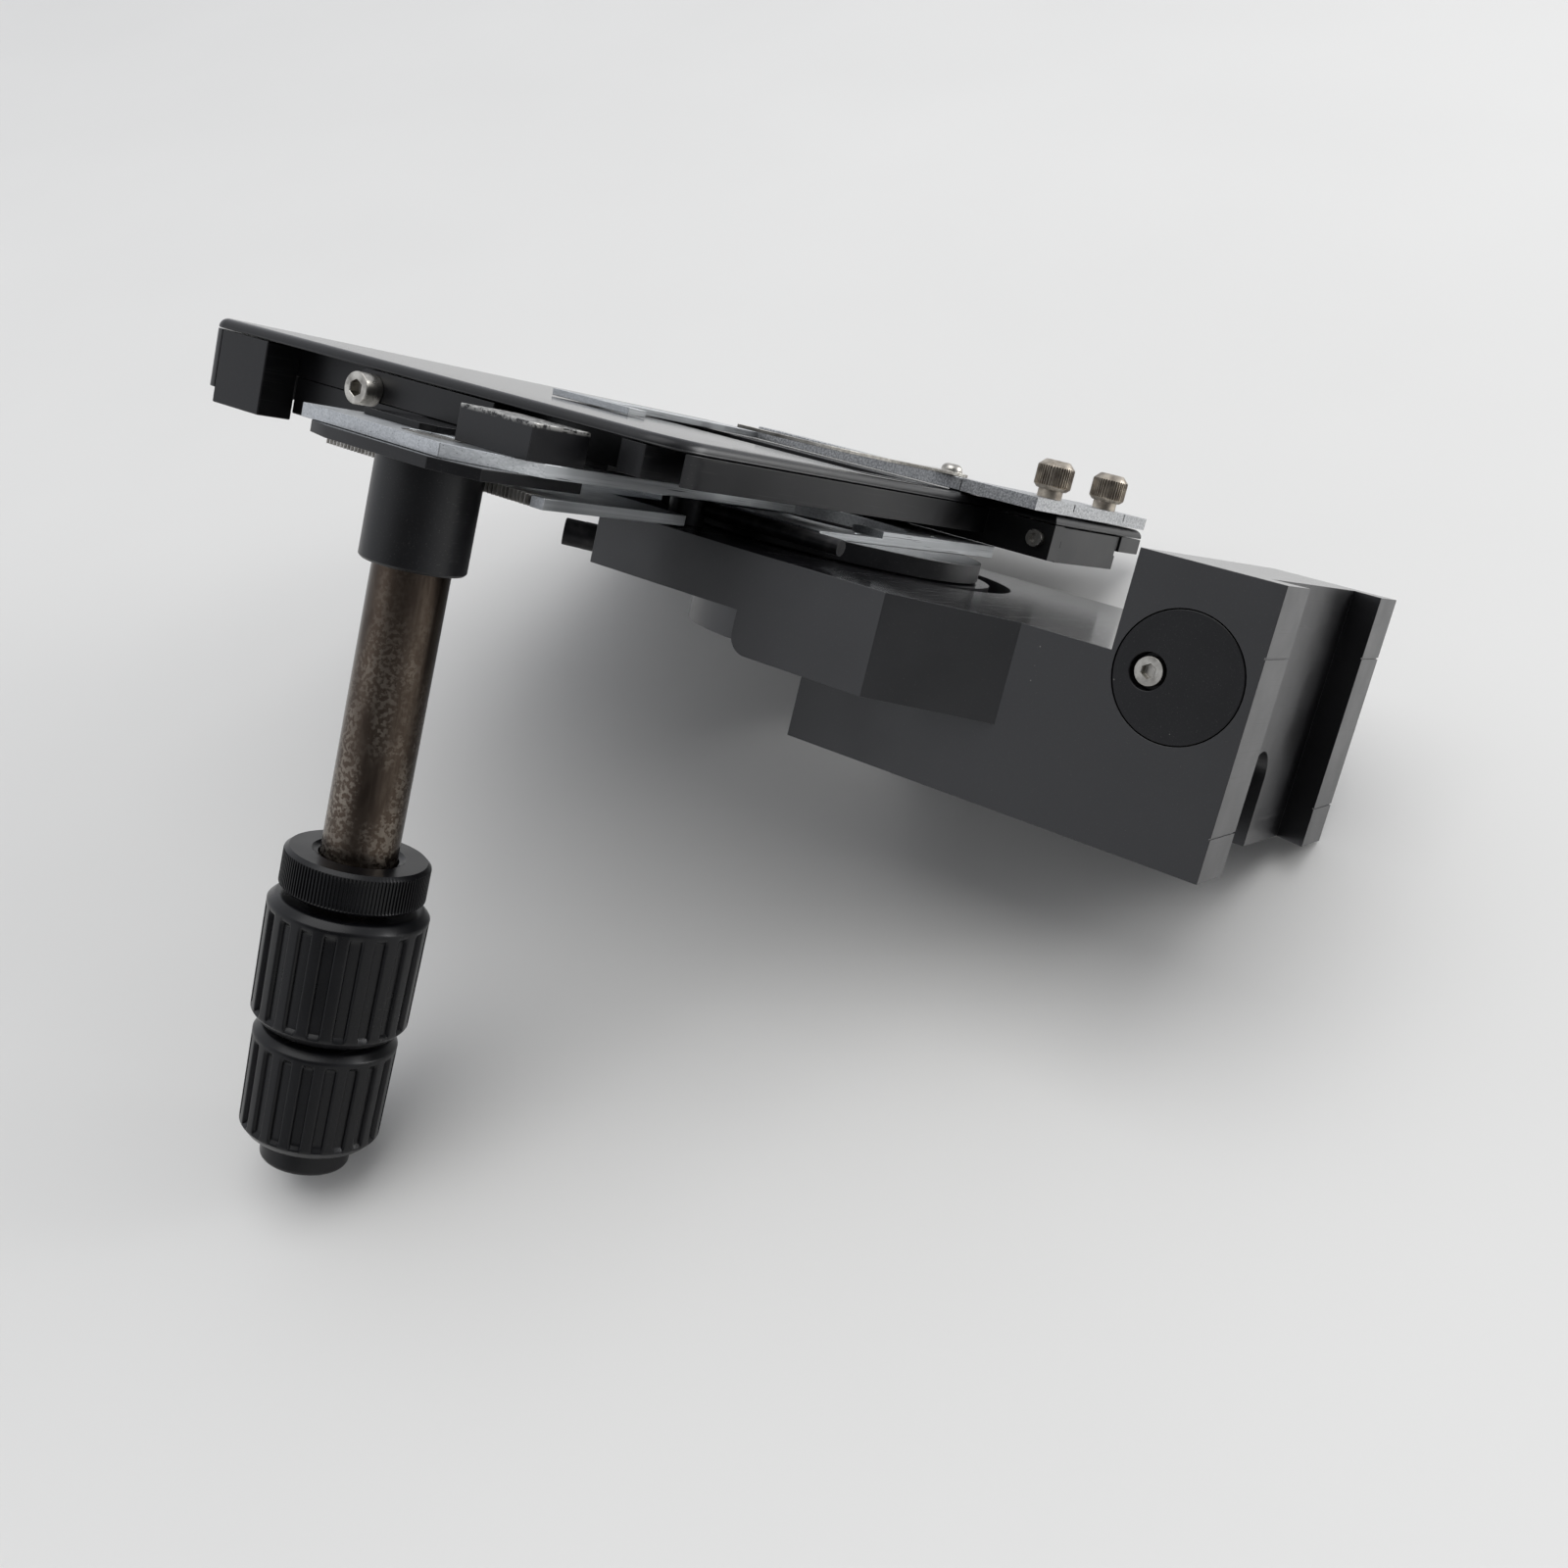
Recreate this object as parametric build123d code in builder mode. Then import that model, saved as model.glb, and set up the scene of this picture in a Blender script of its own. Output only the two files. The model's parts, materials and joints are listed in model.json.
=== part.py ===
from build123d import *
from math import cos, pi, sin
import os

# Mechanical XY stage of a microscope, on the bracket that carries it on the focusing slide.
# Millimetres. Origin: centre of the rear face at the top of the dovetail block.
# +X is the user's right, -Y faces the user, +Z is up along the optical axis.

os.makedirs("parts", exist_ok=True)
pieces = {}

# ---- Driving dimensions ----
FIT = 0.3  # clearance between parts that move past each other
HOLE_PLAY = 0.05  # radial play of a screw or pin in its hole

BLOCK_HALF = 41.75  # half the width of the dovetail block and the arm
BLOCK_DEPTH = 27.5
BLOCK_HEIGHT = 54.8
DOVETAIL_MOUTH = 27.5  # half width at the rear face
DOVETAIL_FLOOR = 30.6  # half width at the groove floor
DOVETAIL_DEPTH = 6.5
SHELF = -19.0  # top face of the carrier arm
AXIS_Y = -116.0  # optical axis and the turntable's pivot
CONDENSER_R = 19.0

RECESS_R = 43.0
RECESS_FLOOR = -23.0
DISC_TOP = -14.7

TRAVEL_X = 45.0  # travel of the slide holder
LINK_X = (-34.0, -28.0)  # post that joins the slide holder to the hidden slide bar

STAGE_TOP = -0.6
TOP_PLATE = 2.2  # thickness of the stage's top plate
FRAME_TOP = STAGE_TOP - TOP_PLATE - 0.2
FRAME_BOTTOM = -9.1
DRIVE_TOP = -10.4  # top of the plate that carries the drive column
STAGE_LEFT, STAGE_RIGHT = -97.0, 88.0
STAGE_FRONT, STAGE_REAR = -228.0, -98.0
GUIDE_REAR = -80.0  # rear end of the guide channel on the left

RAIL_X = (-83.0, -46.0)
RAIL_Y = (-179.0, -80.5)
RAIL_Z = (-11.8, -3.2)
RAIL_SCREW_X = (RAIL_X[0] + RAIL_X[1]) / 2
RAIL_SCREW_Y = (-170, -150, -130)
RAIL_SCREW_SEAT = -7.4

COLUMN_X, COLUMN_Y = 106.0, -138.5
PINION_TEETH = 50
PINION_R = 8.0  # pitch radius
TOOTH = 0.34  # half the tooth height
RACK_Z = (-18.6, -16.4)

M3_HEAD_R, M3_HEAD_H, M3_KEY = 2.75, 3.0, 2.5
M4_HEAD_R, M4_HEAD_H, M4_KEY = 3.25, 4.5, 3.0


def slab(x, y, z, mode=Mode.ADD):
    """A box given by its limits along each axis."""
    middle = ((x[0] + x[1]) / 2, (y[0] + y[1]) / 2, (z[0] + z[1]) / 2)
    with Locations(middle):
        Box(x[1] - x[0], y[1] - y[0], z[1] - z[0], mode=mode)


def rod(x, y, z, radius, mode=Mode.ADD):
    """An upright cylinder between two heights."""
    with Locations((x, y, (z[0] + z[1]) / 2)):
        Cylinder(radius, z[1] - z[0], mode=mode)


def side_rod(x, y, z, radius, mode=Mode.ADD):
    """A cylinder along X."""
    with Locations(Location(((x[0] + x[1]) / 2, y, z), (0, 90, 0))):
        Cylinder(radius, x[1] - x[0], mode=mode)


def outline(points, z, height, mode=Mode.ADD):
    """A plate with a straight-sided outline, from height z upwards."""
    with BuildSketch(Plane.XY.offset(z)) as shape:
        with BuildLine():
            Polyline(*points, close=True)
        make_face()
    extrude(shape.sketch, amount=height, mode=mode)


def cap_screw(plane, head_r, head_h, shank_r, length, key):
    """A socket cap screw whose head stands on the plane, its shank going below it."""
    with BuildSketch(plane) as head:
        Circle(head_r)
    extrude(head.sketch, amount=head_h)
    with BuildSketch(plane) as shank:
        Circle(shank_r)
    extrude(shank.sketch, amount=-length)
    with BuildSketch(plane.offset(head_h)) as socket:
        RegularPolygon(key / 2, 6, major_radius=False)
    extrude(socket.sketch, amount=-head_h * 0.55, mode=Mode.SUBTRACT)


# ---- Carrier bracket: dovetail block, arm, stage shelf and condenser boss in one casting ----
ARM_FRONT = -90.0
SHELF_HALF = 60.0
SHOULDER_REAR = -46.0
SHOULDER_FRONT = -65.7
STEP_Y = -97.0
STEP_BOTTOM = -39.0
NOSE_BOTTOM = -30.6
NOSE_CORNER_Y = -135.0
NOSE_FRONT = (22.0, -164.0)
BOSS_R = 28.0
BOSS_BOTTOM = -42.0
KEYWAY_HALF = 6.5
KEYWAY_TOP = -34.0
KEYWAY_BACK = -18.5
SEAM = 0.3
SEAM_HEIGHTS = (-13.0, -46.2)
CAM_Y, CAM_Z, CAM_R = -14.2, -20.5, 12.2
CAM_DEPTH = 6.0
CAM_SCREW_Y, CAM_SCREW_Z = -19.8, -20.9
FLOOR_SCREWS_R = 34.0

with BuildPart() as carrier_bracket:
    slab((-BLOCK_HALF, BLOCK_HALF), (-BLOCK_DEPTH, 0), (-BLOCK_HEIGHT, 0))
    slab((-BLOCK_HALF, BLOCK_HALF), (ARM_FRONT, -BLOCK_DEPTH), (-BLOCK_HEIGHT, SHELF))
    shoulder = [
        (BLOCK_HALF, SHOULDER_REAR),
        (SHELF_HALF, SHOULDER_FRONT),
        (SHELF_HALF, STEP_Y),
    ]
    outline(shoulder + [(-x, y) for x, y in reversed(shoulder)], STEP_BOTTOM, SHELF - STEP_BOTTOM)
    step_edge = carrier_bracket.edges().filter_by(Axis.X).filter_by(
        lambda e: abs(e.center().Y - STEP_Y) < 0.01 and abs(e.center().Z - STEP_BOTTOM) < 0.01
    )
    fillet(step_edge, 4.0)
    nose = [(SHELF_HALF, STEP_Y), (SHELF_HALF, NOSE_CORNER_Y), NOSE_FRONT]
    outline(nose + [(-x, y) for x, y in reversed(nose)], NOSE_BOTTOM, SHELF - NOSE_BOTTOM)
    rod(0, AXIS_Y, (BOSS_BOTTOM, NOSE_BOTTOM), BOSS_R)
    rod(0, AXIS_Y, (RECESS_FLOOR, SHELF), RECESS_R, Mode.SUBTRACT)
    rod(0, AXIS_Y, (-BLOCK_HEIGHT, SHELF), CONDENSER_R, Mode.SUBTRACT)
    groove = [(DOVETAIL_MOUTH, 0), (DOVETAIL_FLOOR, -DOVETAIL_DEPTH)]
    outline(groove + [(-x, y) for x, y in reversed(groove)], -BLOCK_HEIGHT, BLOCK_HEIGHT, Mode.SUBTRACT)
    keyway_centre = KEYWAY_TOP - KEYWAY_HALF
    slab(
        (-KEYWAY_HALF, KEYWAY_HALF),
        (KEYWAY_BACK, -DOVETAIL_DEPTH),
        (-BLOCK_HEIGHT, keyway_centre),
        Mode.SUBTRACT,
    )
    with Locations(Location((0, (KEYWAY_BACK - DOVETAIL_DEPTH) / 2, keyway_centre), (90, 0, 0))):
        Cylinder(KEYWAY_HALF, -KEYWAY_BACK - DOVETAIL_DEPTH, mode=Mode.SUBTRACT)
    for seam_z in SEAM_HEIGHTS:
        slab((-BLOCK_HALF, BLOCK_HALF), (-SEAM, 0), (seam_z - SEAM / 2, seam_z + SEAM / 2), Mode.SUBTRACT)
    side_rod((BLOCK_HALF - CAM_DEPTH, BLOCK_HALF), CAM_Y, CAM_Z, CAM_R + 0.2, Mode.SUBTRACT)
    side_rod((BLOCK_HALF - 16, BLOCK_HALF), CAM_SCREW_Y, CAM_SCREW_Z, 1.5 + HOLE_PLAY, Mode.SUBTRACT)
    with Locations((0, AXIS_Y, RECESS_FLOOR)):
        with PolarLocations(FLOOR_SCREWS_R, 3, start_angle=30):
            Hole(1.25 + HOLE_PLAY, 6)
pieces["carrier_bracket"] = carrier_bracket

# ---- Cam disc of the slide clamp, let into the block's right side ----
with BuildPart() as clamp_cam_disc:
    side_rod((BLOCK_HALF - CAM_DEPTH, BLOCK_HALF), CAM_Y, CAM_Z, CAM_R)
    side_rod((BLOCK_HALF - 3.4, BLOCK_HALF), CAM_SCREW_Y, CAM_SCREW_Z, 3.5, Mode.SUBTRACT)
    side_rod((BLOCK_HALF - CAM_DEPTH, BLOCK_HALF), CAM_SCREW_Y, CAM_SCREW_Z, 1.5 + HOLE_PLAY, Mode.SUBTRACT)
pieces["clamp_cam_disc"] = clamp_cam_disc

with BuildPart() as cam_disc_screw:
    seat = Plane(origin=(BLOCK_HALF - 3.4, CAM_SCREW_Y, CAM_SCREW_Z), z_dir=(1, 0, 0))
    cap_screw(seat, M3_HEAD_R, M3_HEAD_H, 1.5, 12, M3_KEY)
pieces["cam_disc_screw"] = cam_disc_screw

# ---- Rotation bearing in the recess: fixed race ring, balls, retaining screws ----
RACE_R = 38.0
RACE_BORE = 21.0
BALL_R = 1.5
BALL_CIRCLE = 29.0
RACE_TOP = -19.2

with BuildPart() as race_ring:
    rod(0, AXIS_Y, (RECESS_FLOOR, RACE_TOP), RACE_R)
    rod(0, AXIS_Y, (RECESS_FLOOR, RACE_TOP), RACE_BORE, Mode.SUBTRACT)
    with BuildSketch(Plane.XZ.offset(-AXIS_Y)):
        with Locations((BALL_CIRCLE, RACE_TOP)):
            Circle(BALL_R + 0.1)
    revolve(axis=Axis((0, AXIS_Y, 0), (0, 0, 1)), mode=Mode.SUBTRACT)
    with Locations((0, AXIS_Y, RACE_TOP)):
        with PolarLocations(FLOOR_SCREWS_R, 3, start_angle=30):
            CounterBoreHole(1.25 + HOLE_PLAY, 2.35, 1.6)
pieces["race_ring"] = race_ring

with BuildPart() as race_ring_screws:
    with BuildSketch(Plane.XY.offset(RACE_TOP - 1.6)):
        with Locations((0, AXIS_Y)):
            with PolarLocations(FLOOR_SCREWS_R, 3, start_angle=30):
                Circle(2.25)
    extrude(amount=1.4)
    with BuildSketch(Plane.XY.offset(RACE_TOP - 1.6)):
        with Locations((0, AXIS_Y)):
            with PolarLocations(FLOOR_SCREWS_R, 3, start_angle=30):
                Circle(1.25)
    extrude(amount=-7)
pieces["race_ring_screws"] = race_ring_screws

with BuildPart() as bearing_balls:
    with Locations((0, AXIS_Y, RACE_TOP)):
        with PolarLocations(BALL_CIRCLE, 12):
            Sphere(BALL_R)
pieces["bearing_balls"] = bearing_balls

# ---- Turntable: disc, slide plate and the Y rail ----
TABLE_R = 35.0
TABLE_BORE = 17.0
TABLE_X = (-44.0, 38.0)
TABLE_Y = (-172.0, -96.0)
TABLE_LOW, TABLE_HIGH = -13.3, -11.8
TABLE_STEP_X = 12.0
WING_X = (-84.0, -44.0)
WING_Y = (-178.0, -122.0)
TABLE_SCREWS_R = 24.5

with BuildPart() as turntable_disc:
    rod(0, AXIS_Y, (RACE_TOP + FIT, DISC_TOP), TABLE_R)
    rod(0, AXIS_Y, (RACE_TOP + FIT, DISC_TOP), TABLE_BORE, Mode.SUBTRACT)
    with BuildSketch(Plane.XZ.offset(-AXIS_Y)):
        with Locations((BALL_CIRCLE, RACE_TOP)):
            Circle(BALL_R + FIT)
    revolve(axis=Axis((0, AXIS_Y, 0), (0, 0, 1)), mode=Mode.SUBTRACT)
    with BuildSketch(Plane.XY.offset(DISC_TOP)):
        with Locations((0, AXIS_Y)):
            with PolarLocations(TABLE_SCREWS_R, 4, start_angle=45):
                Circle(1.25 + HOLE_PLAY)
    extrude(amount=-3, mode=Mode.SUBTRACT)
pieces["turntable_disc"] = turntable_disc

with BuildPart() as turntable_plate:
    slab(TABLE_X, TABLE_Y, (DISC_TOP, TABLE_LOW))
    slab((TABLE_X[0], TABLE_STEP_X), TABLE_Y, (TABLE_LOW, TABLE_HIGH))
    slab(WING_X, WING_Y, (DISC_TOP, TABLE_HIGH))
    rod(0, AXIS_Y, (DISC_TOP, TABLE_HIGH), TABLE_BORE, Mode.SUBTRACT)
    with BuildSketch(Plane.XY.offset(DISC_TOP)):
        with Locations((0, AXIS_Y)):
            with PolarLocations(TABLE_SCREWS_R, 4, start_angle=45):
                Circle(1.25 + HOLE_PLAY)
    extrude(amount=4, mode=Mode.SUBTRACT)
    for rail_screw_y in RAIL_SCREW_Y:
        rod(RAIL_SCREW_X, rail_screw_y, (DISC_TOP, TABLE_HIGH), 2.0 + HOLE_PLAY, Mode.SUBTRACT)
pieces["turntable_plate"] = turntable_plate

with BuildPart() as turntable_screws:
    with BuildSketch(Plane.XY.offset(DISC_TOP - 2.8)):
        with Locations((0, AXIS_Y)):
            with PolarLocations(TABLE_SCREWS_R, 4, start_angle=45):
                Circle(1.25)
    extrude(amount=4.1)
pieces["turntable_screws"] = turntable_screws

with BuildPart() as y_rail:
    slab(RAIL_X, RAIL_Y, RAIL_Z)
    for groove_x in RAIL_X:
        slab((groove_x - 0.8, groove_x + 0.8), RAIL_Y, (-8.2, -6.6), Mode.SUBTRACT)
    for rail_screw_y in RAIL_SCREW_Y:
        rod(RAIL_SCREW_X, rail_screw_y, RAIL_Z, 2.0 + HOLE_PLAY, Mode.SUBTRACT)
        rod(RAIL_SCREW_X, rail_screw_y, (RAIL_SCREW_SEAT, RAIL_Z[1]), 3.7, Mode.SUBTRACT)
pieces["y_rail"] = y_rail

# ---- Rack of the Y drive on its arm, fixed below the slide plate ----
RACK_X = COLUMN_X - PINION_R  # pitch line
RACK_WIDTH = 4.0
RACK_Y = (-176.0, -120.4)
ARM_REAR = -117.2
ARM_END_X = 55.0
ARM_FOOT_X, ARM_FOOT_Y = (30.0, 38.0), (-150.0, -137.0)

with BuildPart() as y_rack:
    pitch = 2 * pi * PINION_R / PINION_TEETH
    backlash = 0.12
    rack_back = RACK_X - RACK_WIDTH
    rack_teeth = ((-0.42, TOOTH), (-0.22, -TOOTH), (0.22, -TOOTH), (0.42, TOOTH))
    rack_points = [(rack_back, RACK_Y[1]), (rack_back, RACK_Y[0])]
    first = -int((COLUMN_Y - RACK_Y[0]) / pitch)
    last = int((RACK_Y[1] - COLUMN_Y) / pitch)
    for space in range(first + 1, last):
        middle = COLUMN_Y + space * pitch
        for turn, reach in rack_teeth:
            rack_points.append((RACK_X + reach - backlash, middle + turn * pitch))
    outline(rack_points, RACK_Z[0], RACK_Z[1] - RACK_Z[0])
pieces["y_rack"] = y_rack

with BuildPart() as rack_arm:
    arm_outline = [
        (RACK_X + TOOTH, ARM_REAR),
        (ARM_END_X, ARM_REAR),
        (ARM_END_X, ARM_FOOT_Y[1]),
        (ARM_FOOT_X[0], ARM_FOOT_Y[1]),
        (ARM_FOOT_X[0], ARM_FOOT_Y[0]),
        (ARM_END_X + 7.0, ARM_FOOT_Y[0]),
        (RACK_X - RACK_WIDTH, -132.0),
        (RACK_X - RACK_WIDTH, RACK_Y[1]),
        (RACK_X + TOOTH, RACK_Y[1]),
    ]
    outline(arm_outline, RACK_Z[0], RACK_Z[1] - RACK_Z[0])
    slab(ARM_FOOT_X, ARM_FOOT_Y, (RACK_Z[1], DISC_TOP))
pieces["rack_arm"] = rack_arm

with BuildPart() as rail_screws:
    for rail_screw_y in RAIL_SCREW_Y:
        seat = Plane(origin=(RAIL_SCREW_X, rail_screw_y, RAIL_SCREW_SEAT))
        cap_screw(seat, 3.5, 3.6, 2.0, 7.2, M4_KEY)
pieces["rail_screws"] = rail_screws

# ---- Stage that moves front to back ----
OPENING_X = (-14.0, 14.0)
OPENING_Y = (-168.0, -106.0)
CHANNEL_X = (RAIL_X[0] - 0.4, RAIL_X[1] + 0.4)
RIGHT_WALL_X = -40.0
RIGHT_WALL_BOTTOM = -11.5
LEFT_WALL_BOTTOM = -7.0
APRON_BOTTOM = -15.4
APRON_THICK = 4.0
SLIDE_Y = (-105.0, -99.8)
SLOT_X = (LINK_X[0] - 2.0, LINK_X[1] + TRAVEL_X + 2.0)
SIDE_RECESS_X = 79.0
END_SCREW_Y, END_SCREW_Z = -84.0, -7.0
PAD_X, PAD_Y = 84.0, (-181.0, -143.0)
PAD_SCREW_Y, PAD_SCREW_Z = -176.0, -7.0
NOTCH_REAR = -111.0
REAR_CORNER_R = 9.0
CORNER_BLOCK_REAR = -209.0
CORNER_BLOCK_BOTTOM = -18.6
SKIRT_BOTTOM = -17.0
TOP_ROUND = 2.0

with BuildPart() as stage_top_plate:
    top_outline = [
        (STAGE_LEFT, STAGE_FRONT),
        (STAGE_RIGHT, STAGE_FRONT),
        (STAGE_RIGHT, STAGE_REAR),
        (RIGHT_WALL_X, STAGE_REAR),
        (RIGHT_WALL_X, GUIDE_REAR),
        (STAGE_LEFT, GUIDE_REAR),
    ]
    outline(top_outline, STAGE_TOP - TOP_PLATE, TOP_PLATE)
    upright = stage_top_plate.edges().filter_by(Axis.Z)
    fillet(upright.filter_by(lambda e: e.center().Y < STAGE_FRONT + 1), 4.0)
    fillet(upright.filter_by(lambda e: e.center().X > 80 and e.center().Y > -100), REAR_CORNER_R)
    fillet(stage_top_plate.faces().sort_by(Axis.Z)[-1].edges(), TOP_ROUND)
    slab(OPENING_X, OPENING_Y, (STAGE_TOP - TOP_PLATE, STAGE_TOP), Mode.SUBTRACT)
    slab(SLOT_X, (SLIDE_Y[0] + 0.6, SLIDE_Y[1] - 0.6), (STAGE_TOP - TOP_PLATE, STAGE_TOP), Mode.SUBTRACT)
pieces["stage_top_plate"] = stage_top_plate

with BuildPart() as stage_frame:
    frame_outline = [
        (CHANNEL_X[1], STAGE_FRONT + APRON_THICK),
        (SIDE_RECESS_X, STAGE_FRONT + APRON_THICK),
        (SIDE_RECESS_X, PAD_Y[0]),
        (PAD_X, PAD_Y[0]),
        (PAD_X, PAD_Y[1]),
        (SIDE_RECESS_X, PAD_Y[1]),
        (SIDE_RECESS_X, NOTCH_REAR),
        (STAGE_RIGHT, NOTCH_REAR),
        (STAGE_RIGHT, STAGE_REAR),
        (RIGHT_WALL_X, STAGE_REAR),
        (RIGHT_WALL_X, GUIDE_REAR),
        (CHANNEL_X[1], GUIDE_REAR),
    ]
    outline(frame_outline, FRAME_BOTTOM, FRAME_TOP - FRAME_BOTTOM)
    rear_corner = stage_frame.edges().filter_by(Axis.Z).filter_by(
        lambda e: e.center().X > 80 and e.center().Y > -100
    )
    fillet(rear_corner, REAR_CORNER_R)
    wall_y = (STAGE_FRONT + APRON_THICK, GUIDE_REAR)
    slab((CHANNEL_X[1], RIGHT_WALL_X), wall_y, (RIGHT_WALL_BOTTOM, FRAME_BOTTOM))
    slab(OPENING_X, OPENING_Y, (FRAME_BOTTOM, FRAME_TOP), Mode.SUBTRACT)
    slab(
        (SLOT_X[0] - 0.6, STAGE_RIGHT),
        (SLIDE_Y[0] - 0.4, SLIDE_Y[1] + 0.4),
        (FRAME_BOTTOM, FRAME_TOP),
        Mode.SUBTRACT,
    )
    side_rod((RIGHT_WALL_X - 5, RIGHT_WALL_X), END_SCREW_Y, END_SCREW_Z, 1.25 + HOLE_PLAY, Mode.SUBTRACT)
pieces["stage_frame"] = stage_frame

# ---- Spacer between the frame and the drive plate, and the skirt on the right side ----
with BuildPart() as drive_spacer:
    slab((40.0, 78.0), (-160.0, -121.0), (DRIVE_TOP, FRAME_BOTTOM))
    slab((78.0, 104.0), (-160.0, -143.5), (DRIVE_TOP, FRAME_BOTTOM))
    rod(COLUMN_X, COLUMN_Y, (DRIVE_TOP, FRAME_BOTTOM), 7.0, Mode.SUBTRACT)
pieces["drive_spacer"] = drive_spacer

with BuildPart() as side_skirt:
    slab((70.0, SIDE_RECESS_X), (CORNER_BLOCK_REAR, -164.0), (SKIRT_BOTTOM, FRAME_BOTTOM))
pieces["side_skirt"] = side_skirt

with BuildPart() as left_guide_wall:
    slab((STAGE_LEFT, CHANNEL_X[0]), (STAGE_FRONT + APRON_THICK, GUIDE_REAR), (LEFT_WALL_BOTTOM, FRAME_TOP))
pieces["left_guide_wall"] = left_guide_wall

with BuildPart() as guide_end_screw:
    seat = Plane(origin=(RIGHT_WALL_X, END_SCREW_Y, END_SCREW_Z), z_dir=(1, 0, 0))
    cap_screw(seat, 2.05, 1.9, 1.25, 4.5, 2.0)
pieces["guide_end_screw"] = guide_end_screw

with BuildPart() as front_apron:
    slab((STAGE_LEFT, STAGE_RIGHT), (STAGE_FRONT, STAGE_FRONT + APRON_THICK), (APRON_BOTTOM, FRAME_TOP))
    fillet(front_apron.edges().filter_by(Axis.Z).sort_by(Axis.Y)[:2], 3.9)
pieces["front_apron"] = front_apron

with BuildPart() as front_corner_block:
    block_y = (STAGE_FRONT + APRON_THICK, CORNER_BLOCK_REAR)
    slab((SIDE_RECESS_X, STAGE_RIGHT), block_y, (CORNER_BLOCK_BOTTOM, FRAME_TOP))
pieces["front_corner_block"] = front_corner_block

with BuildPart() as side_pad:
    slab((PAD_X, STAGE_RIGHT), PAD_Y, (FRAME_BOTTOM, FRAME_TOP))
    fillet(side_pad.edges().filter_by(Axis.X).sort_by(Axis.Z)[-2:].sort_by(Axis.Y)[0], 3.0)
    side_rod((PAD_X, STAGE_RIGHT), PAD_SCREW_Y, PAD_SCREW_Z, 2.0 + HOLE_PLAY, Mode.SUBTRACT)
pieces["side_pad"] = side_pad

with BuildPart() as side_pad_screw:
    seat = Plane(origin=(STAGE_RIGHT, PAD_SCREW_Y, PAD_SCREW_Z), z_dir=(1, 0, 0))
    cap_screw(seat, M4_HEAD_R, M4_HEAD_H, 2.0, 3.9, M4_KEY)
pieces["side_pad_screw"] = side_pad_screw

# ---- Drive plates under the stage's right side ----
DRIVE_BOTTOM = -13.0
STOP_TOP = -3.6
BEARING_BOTTOM = -15.2
SHAFT_R = 3.0
HUB_R = 7.0

with BuildPart() as drive_plate:
    drive_outline = [
        (14.5, -163.0),
        (116.0, -163.0),
        (116.0, -127.4),
        (98.4, -118.0),
        (14.5, -118.0),
    ]
    outline(drive_outline, DRIVE_BOTTOM, DRIVE_TOP - DRIVE_BOTTOM)
    rod(COLUMN_X, COLUMN_Y, (DRIVE_BOTTOM, DRIVE_TOP), 6.0 + FIT, Mode.SUBTRACT)
pieces["drive_plate"] = drive_plate

with BuildPart() as bearing_plate:
    bearing_outline = [
        (86.0, -160.0),
        (116.0, -160.0),
        (118.8, -153.0),
        (118.8, -127.0),
        (113.0, -119.5),
        (86.0, -119.5),
    ]
    outline(bearing_outline, BEARING_BOTTOM, DRIVE_BOTTOM - BEARING_BOTTOM)
    rod(COLUMN_X, COLUMN_Y, (BEARING_BOTTOM, DRIVE_BOTTOM), HUB_R + 2, Mode.SUBTRACT)
pieces["bearing_plate"] = bearing_plate

with BuildPart() as column_bush:
    rod(COLUMN_X, COLUMN_Y, (BEARING_BOTTOM, DRIVE_BOTTOM), HUB_R + 1.9)
    rod(COLUMN_X, COLUMN_Y, (BEARING_BOTTOM, DRIVE_BOTTOM), HUB_R + HOLE_PLAY, Mode.SUBTRACT)
pieces["column_bush"] = column_bush

with BuildPart() as stop_block:
    slab((STAGE_RIGHT + 0.2, 104.0), (-136.0, -118.0), (DRIVE_TOP, STOP_TOP))
pieces["stop_block"] = stop_block

# ---- Coaxial drive column ----
COLLAR_R, COLLAR_BOTTOM = 10.0, -34.5
TUBE_R = 7.35
TUBE_BORE = SHAFT_R + 0.4
RING_R, RING_Z = 14.0, (-99.0, -91.0)
Y_KNOB_R, Y_KNOB_Z = 15.5, (-126.0, -100.5)
X_KNOB_R, X_KNOB_Z = 14.0, (-150.0, -127.5)
CAP_R, CAP_BOTTOM = 8.75, -156.0
FLUTES = 20
PINION_Z = (-18.8, -15.6)


def fluted_knob(radius, z, bore):
    """A knob with wide shallow flutes that stop short of the chamfered ends."""
    rod(COLUMN_X, COLUMN_Y, z, radius)
    rod(COLUMN_X, COLUMN_Y, z, bore, Mode.SUBTRACT)
    rims = edges().filter_by(GeomType.CIRCLE).filter_by(lambda e: e.radius > bore + 1)
    chamfer(rims, 1.2)
    flute_z = (z[0] + 2.2, z[1] - 2.2)
    with BuildSketch(Plane.XY.offset(flute_z[0])) as flutes:
        with Locations((COLUMN_X, COLUMN_Y)):
            with PolarLocations(radius + 0.4, FLUTES):
                Rectangle(2.0, radius * 0.16)
    extrude(flutes.sketch, amount=flute_z[1] - flute_z[0], mode=Mode.SUBTRACT)


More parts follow.
